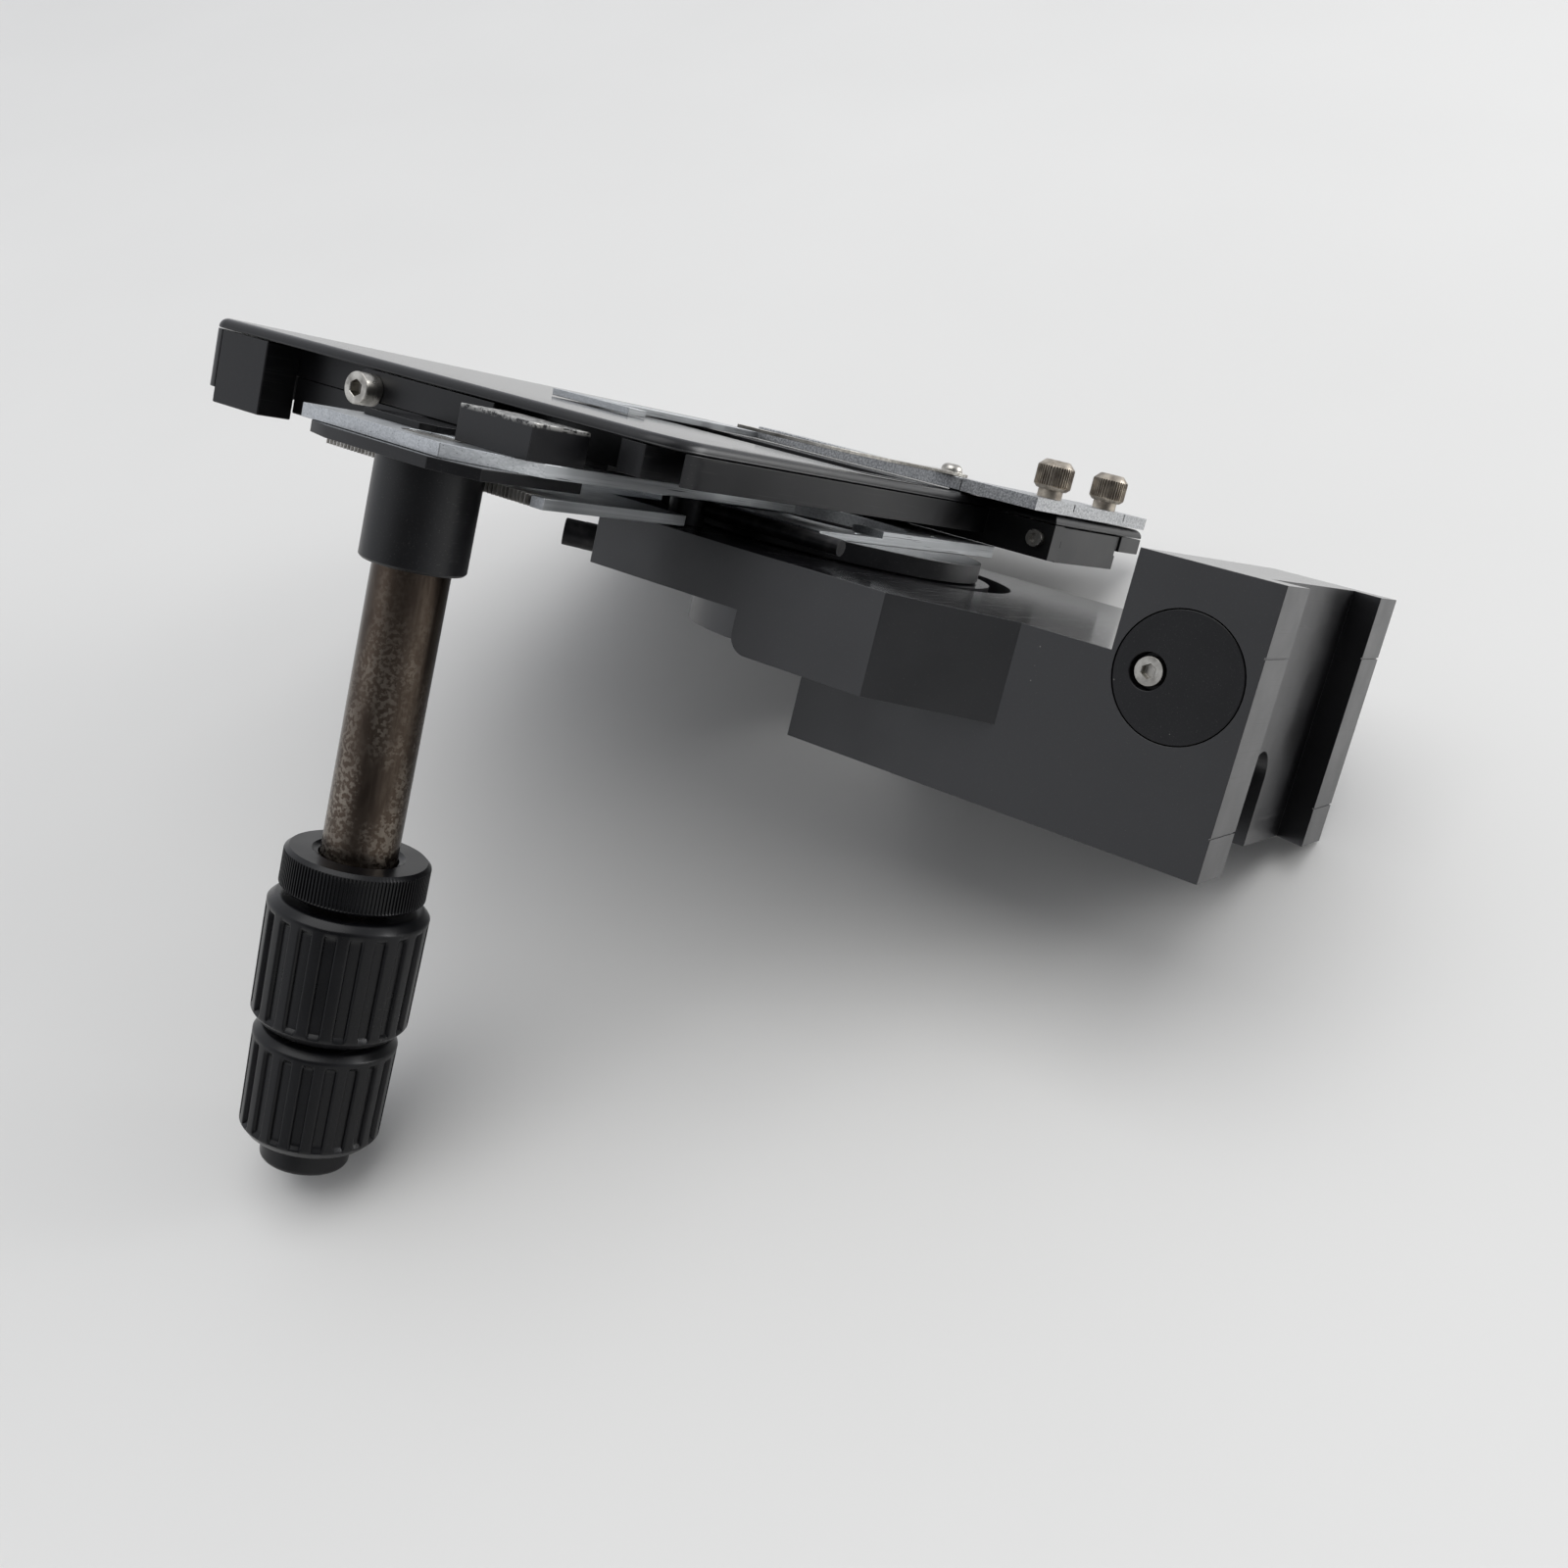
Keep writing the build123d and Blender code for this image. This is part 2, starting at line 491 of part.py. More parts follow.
with BuildPart() as y_pinion:
    half_pitch = pi / PINION_TEETH
    tooth_points = []
    for tooth in range(PINION_TEETH):
        middle = pi + 2 * half_pitch * tooth
        for turn, reach in ((-0.75, -TOOTH), (-0.3, TOOTH), (0.3, TOOTH), (0.75, -TOOTH)):
            angle = middle + turn * half_pitch
            radius = PINION_R + reach
            tooth_points.append((COLUMN_X + radius * cos(angle), COLUMN_Y + radius * sin(angle)))
    outline(tooth_points, PINION_Z[0], PINION_Z[1] - PINION_Z[0])
    rod(COLUMN_X, COLUMN_Y, (PINION_Z[1], DRIVE_BOTTOM - 0.1), HUB_R)
    rod(COLUMN_X, COLUMN_Y, (PINION_Z[0], DRIVE_BOTTOM), TUBE_BORE, Mode.SUBTRACT)
pieces["y_pinion"] = y_pinion

with BuildPart() as column_collar:
    rod(COLUMN_X, COLUMN_Y, (COLLAR_BOTTOM, BEARING_BOTTOM), COLLAR_R)
    chamfer(column_collar.edges().filter_by(GeomType.CIRCLE).sort_by(Axis.Z)[0], 0.5)
    rod(COLUMN_X, COLUMN_Y, (COLLAR_BOTTOM, PINION_Z[0]), TUBE_R + FIT, Mode.SUBTRACT)
    rod(COLUMN_X, COLUMN_Y, (PINION_Z[0] - FIT, BEARING_BOTTOM), PINION_R + TOOTH + FIT, Mode.SUBTRACT)
    window_x = (COLUMN_X - COLLAR_R, RACK_X + TOOTH + FIT)
    window_y = (COLUMN_Y - COLLAR_R, COLUMN_Y + COLLAR_R)
    slab(window_x, window_y, (RACK_Z[0] - 0.5, RACK_Z[1] + 0.5), Mode.SUBTRACT)
pieces["column_collar"] = column_collar

with BuildPart() as column_tube:
    rod(COLUMN_X, COLUMN_Y, (Y_KNOB_Z[0], PINION_Z[0]), TUBE_R)
    rod(COLUMN_X, COLUMN_Y, (Y_KNOB_Z[0], PINION_Z[0]), TUBE_BORE, Mode.SUBTRACT)
pieces["column_tube"] = column_tube

with BuildPart() as tension_ring:
    rod(COLUMN_X, COLUMN_Y, RING_Z, RING_R)
    chamfer(tension_ring.edges().filter_by(GeomType.CIRCLE), 0.6)
    rod(COLUMN_X, COLUMN_Y, RING_Z, TUBE_R + FIT, Mode.SUBTRACT)
pieces["tension_ring"] = tension_ring

with BuildPart() as y_knob:
    fluted_knob(Y_KNOB_R, Y_KNOB_Z, TUBE_R + HOLE_PLAY)
pieces["y_knob"] = y_knob

with BuildPart() as drive_shaft:
    rod(COLUMN_X, COLUMN_Y, (X_KNOB_Z[0], -11.0), SHAFT_R)
    rod(COLUMN_X, COLUMN_Y, (-12.8, -10.6), 6.0)
pieces["drive_shaft"] = drive_shaft

with BuildPart() as x_knob:
    fluted_knob(X_KNOB_R, X_KNOB_Z, SHAFT_R + HOLE_PLAY)
    rod(COLUMN_X, COLUMN_Y, (X_KNOB_Z[0], X_KNOB_Z[0] + 3), CAP_R - 1, Mode.SUBTRACT)
pieces["x_knob"] = x_knob

with BuildPart() as knob_end_cap:
    rod(COLUMN_X, COLUMN_Y, (CAP_BOTTOM, X_KNOB_Z[0]), CAP_R)
    fillet(knob_end_cap.edges().filter_by(GeomType.CIRCLE).sort_by(Axis.Z)[0], 1.2)
pieces["knob_end_cap"] = knob_end_cap

# ---- Cross slide: hidden slide bar, and the slide holder on top ----
HOLDER_Z = (-0.3, 2.7)
BAR_X = (-36.0, -26.0)
BAR_FRONT = -160.0
SLIDE_BAR_END = 60.0
SLIDE_Z = (-8.6, -4.0)
THUMB_X, THUMB_Y = (-43.0, -78.0), -85.0
CLIP_X, CLIP_Y = -31.0, -106.0

with BuildPart() as cross_slide_bar:
    slab((LINK_X[0], SLIDE_BAR_END), SLIDE_Y, SLIDE_Z)
    slab(LINK_X, (-104.0, -100.8), (SLIDE_Z[1], HOLDER_Z[0]))
pieces["cross_slide_bar"] = cross_slide_bar

with BuildPart() as holder_plate:
    slab((STAGE_LEFT, BAR_X[1]), (-100.0, GUIDE_REAR), HOLDER_Z)
    for slot_x in (-48.0, -81.0):
        slab((slot_x - 0.3, slot_x + 0.3), (-100.0, GUIDE_REAR), (0.9, HOLDER_Z[1]), Mode.SUBTRACT)
    for screw_x in THUMB_X:
        rod(screw_x, THUMB_Y, (0.7, HOLDER_Z[1]), 2.0 + HOLE_PLAY, Mode.SUBTRACT)
pieces["holder_plate"] = holder_plate

with BuildPart() as holder_bar:
    slab(BAR_X, (BAR_FRONT, -100.2), HOLDER_Z)
    rod(CLIP_X, CLIP_Y, (1.0, HOLDER_Z[1]), 1.5 + HOLE_PLAY, Mode.SUBTRACT)
pieces["holder_bar"] = holder_bar

with BuildPart() as slide_arm:
    slab((BAR_X[0], 44.0), (BAR_FRONT - 8.0, BAR_FRONT), (HOLDER_Z[0], 1.2))
    slab((38.0, 44.0), (BAR_FRONT, BAR_FRONT + 14), (HOLDER_Z[0], 1.2))
pieces["slide_arm"] = slide_arm

with BuildPart() as clip_finger:
    rod(CLIP_X, CLIP_Y, (HOLDER_Z[1] + 0.1, 3.5), 4.0)
    with BuildSketch(Plane.XY.offset(HOLDER_Z[1] + 0.1)):
        with BuildLine():
            Spline((-33, -102.4), (0, -100.5), (34, -107), (42, -119))
            Line((42, -119), (39.6, -119.8))
            Spline((39.6, -119.8), (32.6, -109.4), (0, -103.4), (-33, -109.6))
            Line((-33, -109.6), (-33, -102.4))
        make_face()
    extrude(amount=0.7)
    rod(CLIP_X, CLIP_Y, (1.0, HOLDER_Z[1] + 0.1), 1.5)
    rod(CLIP_X, CLIP_Y, (3.5, 5.3), 2.6)
    fillet(clip_finger.faces().sort_by(Axis.Z)[-1].edges(), 1.6)
pieces["clip_finger"] = clip_finger

for index, thumb_x in enumerate(THUMB_X):
    with BuildPart() as thumb_screw:
        rod(thumb_x, THUMB_Y, (HOLDER_Z[1] + 2.1, HOLDER_Z[1] + 9.1), 4.5)
        chamfer(thumb_screw.edges().filter_by(GeomType.CIRCLE), 0.9)
        rod(thumb_x, THUMB_Y, (0.8, HOLDER_Z[1] + 2.1), 2.0)
        rod(thumb_x, THUMB_Y, (HOLDER_Z[1] + 0.1, HOLDER_Z[1] + 2.1), 3.0)
    pieces[f"thumb_screw_{index + 1}"] = thumb_screw

# ---- Turntable lock lever and the clamp screw at the shelf's right front ----
LEVER_X, LEVER_HUB_Y = 43.5, -125.0
LEVER_R, LEVER_Z = 1.7, -15.0

with BuildPart() as lock_lever:
    rod(LEVER_X + 1, LEVER_HUB_Y, (SHELF + 0.1, -13.5), 4.0)
    with Locations(Location((LEVER_X, (LEVER_HUB_Y - 87.0) / 2, LEVER_Z), (90, 0, 0))):
        Cylinder(LEVER_R, LEVER_HUB_Y * -1 - 87.0)
pieces["lock_lever"] = lock_lever

CLAMP_AT = (46.0, -145.7, -27.4)
CLAMP_DIR = (0.607, -0.795, 0)
CLAMP_R, CLAMP_LENGTH, CLAMP_SLOT, CLAMP_GAP = 3.0, 7.0, 1.6, 0.3
with BuildPart() as clamp_screw:
    along = Plane(origin=CLAMP_AT, z_dir=CLAMP_DIR)
    with BuildSketch(along.offset(CLAMP_GAP)):
        Circle(CLAMP_R)
    extrude(amount=CLAMP_LENGTH)
    with BuildSketch(along.offset(CLAMP_GAP + CLAMP_LENGTH)):
        Rectangle(CLAMP_SLOT, 2.5 * CLAMP_R)
    extrude(amount=-0.6 * CLAMP_LENGTH, mode=Mode.SUBTRACT)
pieces["clamp_screw"] = clamp_screw

for name, piece in pieces.items():
    piece.part.label = name
    export_step(piece.part, f"parts/{name}.step")
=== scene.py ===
"""Looks for the microscope stage assembly.

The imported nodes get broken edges, the knobs and thumb screws are turned and fluted blanks, and each
metal has its own finish."""
import json
import math

import bmesh
import bpy
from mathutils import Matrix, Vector


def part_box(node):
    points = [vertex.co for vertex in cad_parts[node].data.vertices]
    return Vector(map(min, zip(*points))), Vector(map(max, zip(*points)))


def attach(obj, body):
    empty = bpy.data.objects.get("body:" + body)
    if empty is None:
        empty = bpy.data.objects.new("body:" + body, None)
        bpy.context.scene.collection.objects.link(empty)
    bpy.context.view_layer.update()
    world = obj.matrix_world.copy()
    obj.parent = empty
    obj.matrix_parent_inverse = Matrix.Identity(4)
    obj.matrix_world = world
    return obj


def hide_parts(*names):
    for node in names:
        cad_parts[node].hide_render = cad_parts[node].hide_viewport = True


MM = 0.001
SHARP_DEGREES = 32
GRIP_SHARP_DEGREES = 38
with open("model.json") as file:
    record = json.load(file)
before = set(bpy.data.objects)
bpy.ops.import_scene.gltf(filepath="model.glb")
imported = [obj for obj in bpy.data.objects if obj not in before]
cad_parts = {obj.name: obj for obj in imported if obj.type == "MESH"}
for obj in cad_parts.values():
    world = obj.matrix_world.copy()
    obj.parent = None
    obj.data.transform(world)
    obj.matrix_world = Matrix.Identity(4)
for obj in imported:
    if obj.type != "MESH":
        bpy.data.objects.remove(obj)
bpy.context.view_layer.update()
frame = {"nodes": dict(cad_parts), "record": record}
BODY_OF = {node: body for body, nodes in frame["record"]["behaviour"]["bodies"].items() for node in nodes}
SLOT_OF = {part["node"]: part["material_slot"] for part in frame["record"]["subparts"]}
COLUMN_LOW, COLUMN_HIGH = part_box("column_tube")
COLUMN = (COLUMN_LOW + COLUMN_HIGH) / 2


# ---- Colour and node helpers ----
def linear(hex_colour):
    """An sRGB hex value as a linear RGBA colour."""
    channels = [int(hex_colour[i : i + 2], 16) / 255 for i in (1, 3, 5)]
    return tuple(c / 12.92 if c <= 0.04045 else ((c + 0.055) / 1.055) ** 2.4 for c in channels) + (1.0,)


def add(tree, kind, inputs=None, **settings):
    """Adds a node; an input is a value or the socket that feeds it."""
    made = tree.nodes.new(kind)
    for key, value in settings.items():
        setattr(made, key, value)
    for key, value in (inputs or {}).items():
        if isinstance(value, bpy.types.NodeSocket):
            tree.links.new(value, made.inputs[key])
        else:
            made.inputs[key].default_value = value
    return made


def new_material(name):
    material = bpy.data.materials.new(name)
    material.use_nodes = True
    tree = material.node_tree
    tree.nodes.clear()
    shader = add(tree, "ShaderNodeBsdfPrincipled")
    output = add(tree, "ShaderNodeOutputMaterial", {"Surface": shader.outputs[0]})
    output.is_active_output = True
    where = add(tree, "ShaderNodeTexCoord").outputs["Object"]
    return material, tree, shader, where


def noise(tree, where, size_mm, detail=2.0):
    """Noise whose lumps are about size_mm across."""
    inputs = {"Vector": where, "Scale": 1000 / size_mm, "Detail": detail}
    return add(tree, "ShaderNodeTexNoise", inputs).outputs[0]


def spread(tree, value, low, high, out_low, out_high):
    """Maps low..high of a value to out_low..out_high, clamped."""
    kind = "ShaderNodeMapRange"
    return add(tree, kind, {0: value, 1: low, 2: high, 3: out_low, 4: out_high}).outputs[0]


def maths(tree, operation, first, second=0.0):
    return add(tree, "ShaderNodeMath", {0: first, 1: second}, operation=operation).outputs[0]


def blend_colour(tree, factor, first, second):
    made = add(tree, "ShaderNodeMix", data_type="RGBA")
    for socket, value in ((0, factor), (6, first), (7, second)):
        if isinstance(value, bpy.types.NodeSocket):
            tree.links.new(value, made.inputs[socket])
        else:
            made.inputs[socket].default_value = value
    return made.outputs[2]


def scratch_lines(tree, where, turn, length_mm, width_mm, cut):
    """Fine straight scuffs along one direction; a higher cut leaves fewer."""
    sized = (1000 / length_mm, 1000 / width_mm, 1000 / width_mm)
    turned = add(tree, "ShaderNodeMapping", {"Vector": where, "Rotation": turn, "Scale": sized}).outputs[0]
    grain = add(tree, "ShaderNodeTexNoise", {"Vector": turned, "Scale": 1.0, "Detail": 1.0}).outputs[0]
    return spread(tree, grain, cut, cut + 0.04, 0.0, 1.0)


def dust_specks(tree, where, cell_mm, speck_mm, share):
    """Sparse round specks, one in some of the cells."""
    cells = add(tree, "ShaderNodeTexVoronoi", {"Vector": where, "Scale": 1000 / cell_mm})
    near = spread(tree, cells.outputs["Distance"], speck_mm / cell_mm, 0.6 * speck_mm / cell_mm, 0.0, 1.0)
    chosen = maths(tree, "LESS_THAN", cells.outputs["Color"], share)
    return maths(tree, "MULTIPLY", near, chosen)


def give_bump(tree, shader, height, depth_mm, strength=0.5):
    bump = add(tree, "ShaderNodeBump", {"Height": height, "Strength": strength, "Distance": depth_mm * MM})
    tree.links.new(bump.outputs[0], shader.inputs["Normal"])


# ---- Materials ----
def black_coating(name, colour, dull, grain_mm, specks, scuffs, sheen, top_dull=None):
    """Black on aluminium: a dark satin skin with hazy patches, dust and hairline scuffs.

    Faces that look up are handled and wiped the most, so they may be given a smoother finish."""
    material, tree, shader, where = new_material(name)
    haze = noise(tree, where, 14.0, 4.0)
    dust = dust_specks(tree, where, 3.2, 0.16, specks)
    lines = scratch_lines(tree, where, (0.3, 0.2, 0.9), 30.0, 0.22, scuffs)
    lines_two = scratch_lines(tree, where, (0.1, -0.4, -0.5), 18.0, 0.18, scuffs + 0.02)
    marks = maths(tree, "MAXIMUM", lines, lines_two)
    tone = blend_colour(tree, spread(tree, haze, 0.35, 0.7, 0.0, 0.35), linear(colour), linear("#1a1a1d"))
    tone = blend_colour(tree, maths(tree, "MULTIPLY", marks, 0.10), tone, linear("#8b8a86"))
    tone = blend_colour(tree, maths(tree, "MULTIPLY", dust, 0.5), tone, linear("#9a9892"))
    tree.links.new(tone, shader.inputs["Base Color"])
    grain = noise(tree, where, grain_mm, 2.0)
    cloudy = spread(tree, haze, 0.3, 0.7, dull - 0.05, dull + 0.07)
    patchy = maths(tree, "ADD", cloudy, maths(tree, "MULTIPLY", marks, 0.1))
    if top_dull is not None:
        facing = add(tree, "ShaderNodeTexCoord").outputs["Normal"]
        upward = add(tree, "ShaderNodeSeparateXYZ", {"Vector": facing}).outputs["Z"]
        wiped = spread(tree, upward, 0.7, 0.97, 0.0, 1.0)
        smoother = maths(tree, "ADD", top_dull, maths(tree, "MULTIPLY", marks, 0.16))
        patchy = add(tree, "ShaderNodeMix", {0: wiped, 2: patchy, 3: smoother}).outputs[0]
    tree.links.new(patchy, shader.inputs["Roughness"])
    give_bump(tree, shader, grain, 0.008)
    shader.inputs["IOR"].default_value = 1.5
    shader.inputs["Specular IOR Level"].default_value = sheen
    return material


def cast_paint():
    # Satin black stoving paint over a milled casting: even, slightly grained, with settled dust.
    return black_coating("satin_black_paint", "#0e0e10", 0.36, 0.35, 0.22, 0.70, 0.85, 0.15)


def black_anodise():
    # Black anodised aluminium, milled then etched: a harder, glossier skin with thin scuffs.
    return black_coating("black_anodised_aluminium", "#09090b", 0.34, 0.25, 0.14, 0.69, 0.4, 0.14)


def knob_anodise():
    # Turned and fluted aluminium, black anodised: smoother than the milled parts.
    return black_coating("turned_black_anodise", "#060608", 0.30, 0.22, 0.08, 0.73, 0.3)


def black_oxide():
    # Oiled black oxide on steel: almost bare metal showing through in patches.
    material, tree, shader, where = new_material("oiled_black_oxide_steel")
    patches = spread(tree, noise(tree, where, 3.0, 3.0), 0.45, 0.7, 0.0, 0.35)
    tone = blend_colour(tree, patches, linear("#19191b"), linear("#4a4846"))
    tree.links.new(tone, shader.inputs["Base Color"])
    shader.inputs["Metallic"].default_value = 0.6
    tree.links.new(spread(tree, noise(tree, where, 5.0), 0.3, 0.7, 0.28, 0.45), shader.inputs["Roughness"])
    give_bump(tree, shader, noise(tree, where, 0.3), 0.01)
    return material


def chipped_edges():
    # Black anodise knocked about along its top edge: the bright metal shows in ragged chips.
    material, tree, shader, where = new_material("chipped_black_anodise")
    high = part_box("stop_block")[1]
    height = add(tree, "ShaderNodeSeparateXYZ", {"Vector": where}).outputs["Z"]
    near_top = spread(tree, height, high.z - 0.9 * MM, high.z - 0.05 * MM, 0.0, 1.0)
    ragged = spread(tree, noise(tree, where, 1.1, 6.0), 0.46, 0.56, 0.0, 1.0)
    chips = maths(tree, "MULTIPLY", near_top, ragged)
    lines = scratch_lines(tree, where, (0.0, 0.3, 1.35), 8.0, 0.3, 0.63)
    chips = maths(tree, "MAXIMUM", chips, maths(tree, "MULTIPLY", lines, near_top))
    tone = blend_colour(tree, chips, linear("#131315"), linear("#b9b8b4"))
    tree.links.new(tone, shader.inputs["Base Color"])
    tree.links.new(maths(tree, "MULTIPLY", chips, 0.8), shader.inputs["Metallic"])
    tree.links.new(spread(tree, chips, 0.0, 1.0, 0.33, 0.42), shader.inputs["Roughness"])
    give_bump(tree, shader, maths(tree, "SUBTRACT", noise(tree, where, 0.3), chips), 0.03)
    return material


def blasted_aluminium():
    # Bead-blasted and clear anodised aluminium: a pale grey skin of tiny glinting dimples.
    material, tree, shader, where = new_material("bead_blasted_aluminium")
    dimples = noise(tree, where, 0.45, 3.0)
    raised = spread(tree, dimples, 0.35, 0.68, 0.0, 1.0)
    tone = blend_colour(tree, raised, linear("#8f9193"), linear("#cfd0d1"))
    tree.links.new(tone, shader.inputs["Base Color"])
    shader.inputs["Metallic"].default_value = 0.9
    handled = noise(tree, where, 9.0, 3.0)
    tree.links.new(spread(tree, handled, 0.3, 0.7, 0.36, 0.5), shader.inputs["Roughness"])
    give_bump(tree, shader, dimples, 0.03, 0.6)
    return material


def milled_aluminium():
    # Milled aluminium plate, clear anodised: fine parallel tool lines and a soft satin glare.
    material, tree, shader, where = new_material("milled_aluminium_plate")
    tool_lines = scratch_lines(tree, where, (0.0, 0.0, 1.57), 60.0, 0.35, 0.5)
    scuffs = scratch_lines(tree, where, (0.2, 0.1, 0.4), 14.0, 0.25, 0.68)
    tone = blend_colour(tree, maths(tree, "MULTIPLY", tool_lines, 0.5), linear("#b4b7b9"), linear("#cdcfd1"))
    tree.links.new(blend_colour(tree, scuffs, tone, linear("#6f7173")), shader.inputs["Base Color"])
    shader.inputs["Metallic"].default_value = 0.92
    handled = noise(tree, where, 7.0, 3.0)
    tree.links.new(spread(tree, handled, 0.3, 0.7, 0.28, 0.42), shader.inputs["Roughness"])
    give_bump(tree, shader, tool_lines, 0.006, 0.4)
    return material


def turned_steel(name, dark, light, dull):
    """Bare steel off the lathe or mill, with handled patches."""
    material, tree, shader, where = new_material(name)
    patches = spread(tree, noise(tree, where, 2.5, 4.0), 0.35, 0.65, 0.0, 1.0)
    tree.links.new(blend_colour(tree, patches, linear(dark), linear(light)), shader.inputs["Base Color"])
    shader.inputs["Metallic"].default_value = 1.0
    tree.links.new(spread(tree, patches, 0.0, 1.0, dull + 0.12, dull), shader.inputs["Roughness"])
    give_bump(tree, shader, noise(tree, where, 0.3, 3.0), 0.008)
    return material


def worn_tube_steel():
    # Drawn steel tube with its plating worn by fingers: brown tarnish and pale pitted freckles,
    # few of them near the collar and most of them towards the knobs.
    few_z, most_z = -40 * MM, -90 * MM
    material, tree, shader, where = new_material("worn_tarnished_tube")
    stretched = add(tree, "ShaderNodeMapping", {"Vector": where, "Scale": (1.0, 1.0, 0.35)}).outputs[0]
    broad = noise(tree, stretched, 9.0, 3.0)
    freckles = noise(tree, where, 0.85, 5.0)
    height = add(tree, "ShaderNodeSeparateXYZ", {"Vector": where}).outputs["Z"]
    low_down = spread(tree, height, few_z, most_z, 0.10, 0.62)
    pitted = maths(tree, "MULTIPLY", spread(tree, freckles, 0.47, 0.56, 0.0, 1.0), low_down)
    worn = maths(tree, "MULTIPLY", pitted, spread(tree, broad, 0.42, 0.62, 0.0, 1.0))
    rings = scratch_lines(tree, where, (0.0, 1.5708, 0.0), 0.6, 6.0, 0.5)
    tone = blend_colour(tree, spread(tree, broad, 0.3, 0.7, 0.0, 1.0), linear("#3a322c"), linear("#5a4e44"))
    tone = blend_colour(tree, maths(tree, "MULTIPLY", rings, 0.15), tone, linear("#6b6156"))
    tree.links.new(blend_colour(tree, worn, tone, linear("#a9a195")), shader.inputs["Base Color"])
    shader.inputs["Metallic"].default_value = 0.95
    tree.links.new(spread(tree, worn, 0.0, 1.0, 0.25, 0.5), shader.inputs["Roughness"])
    give_bump(tree, shader, freckles, 0.02)
    return material


def sintered_bronze():
    # Oil-filled sintered bronze: warm, dull and slightly porous.
    return turned_steel("sintered_bronze", "#7a5a34", "#a98350", 0.35)


FINISHES = {
    "cast_black": cast_paint(),
    "anodised_black": black_anodise(),
    "black_oxide": black_oxide(),
    "knob_black": knob_anodise(),
    "satin_aluminium": milled_aluminium(),
    "bright_steel": turned_steel("bright_turned_steel", "#8f8c86", "#c8c5be", 0.24),
    "gear_steel": turned_steel("milled_gear_steel", "#a3a19d", "#cfcdc9", 0.34),
    "worn_steel": worn_tube_steel(),
    "bronze": sintered_bronze(),
}
BLASTED = blasted_aluminium()
CHIPPED = chipped_edges()
THUMB_STEEL = turned_steel("handled_knurled_steel", "#857d73", "#bdb4a6", 0.3)


# ---- Mesh helpers ----
def as_piece(name, mesh, body, material, *stands_for):
    """Makes the finished object, sets it on what it rides on and hides the parts it stands for."""
    piece = bpy.data.objects.new(name, mesh)
    bpy.context.scene.collection.objects.link(piece)
    mesh.materials.clear()
    mesh.materials.append(material)
    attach(piece, body)
    if stands_for:
        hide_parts(*stands_for)
    return piece


def applied(blank, set_up):
    """The mesh of a blank once set_up has given it its modifiers."""
    maker = bpy.data.objects.new("maker", blank)
    bpy.context.scene.collection.objects.link(maker)
    set_up(maker)
    depsgraph = bpy.context.evaluated_depsgraph_get()
    mesh = bpy.data.meshes.new_from_object(maker.evaluated_get(depsgraph), depsgraph=depsgraph)
    bpy.data.objects.remove(maker)
    return mesh


def smooth_by_angle(mesh, degrees=SHARP_DEGREES):
    """Smooth shading with the edges sharper than the angle kept crisp."""
    shape = bmesh.new()
    shape.from_mesh(mesh)
    for face in shape.faces:
        face.smooth = True
    for edge in shape.edges:
        edge.smooth = len(edge.link_faces) == 2 and edge.calc_face_angle(0) < math.radians(degrees)
    shape.to_mesh(mesh)
    shape.free()


def dressed(node, material, edge_mm=0.25):
    """The CAD node with its machined edges broken, so that they catch the light."""
    mesh = frame["nodes"][node].data.copy()
    shape = bmesh.new()
    shape.from_mesh(mesh)
    bmesh.ops.remove_doubles(shape, verts=shape.verts, dist=1e-6)
    bmesh.ops.dissolve_limit(shape, angle_limit=math.radians(0.4), verts=shape.verts, edges=shape.edges)
    shape.to_mesh(mesh)
    shape.free()
    smooth_by_angle(mesh)

    def break_edges(maker):
        bevel = maker.modifiers.new("broken_edges", "BEVEL")
        bevel.width = edge_mm * MM
        bevel.segments = 2
        bevel.limit_method = "ANGLE"
        bevel.angle_limit = math.radians(SHARP_DEGREES)
        bevel.harden_normals = True

    return as_piece(node + "_finished", applied(mesh, break_edges), BODY_OF[node], material, node)


def turned(profile, centre, segments):
    """A closed solid turned about an upright axis; the profile runs in mm from the axis back to the axis."""
    shape = bmesh.new()
    rows = []
    for radius, height in profile:
        count = 1 if radius == 0 else segments
        row = []
        for step in range(count):
            angle = 2 * math.pi * step / segments
            x = centre[0] + radius * MM * math.cos(angle)
            y = centre[1] + radius * MM * math.sin(angle)
            row.append(shape.verts.new((x, y, height * MM)))
        rows.append(row)
    for low, high in zip(rows, rows[1:]):
        for step in range(segments):
            following = (step + 1) % segments
            inner = [low[step % len(low)], low[following % len(low)]]
            outer = [high[following % len(high)], high[step % len(high)]]
            shape.faces.new(list(dict.fromkeys(inner + outer)))
    bmesh.ops.recalc_face_normals(shape, faces=shape.faces)
    mesh = bpy.data.meshes.new("turned_blank")
    shape.to_mesh(mesh)
    shape.free()
    return mesh


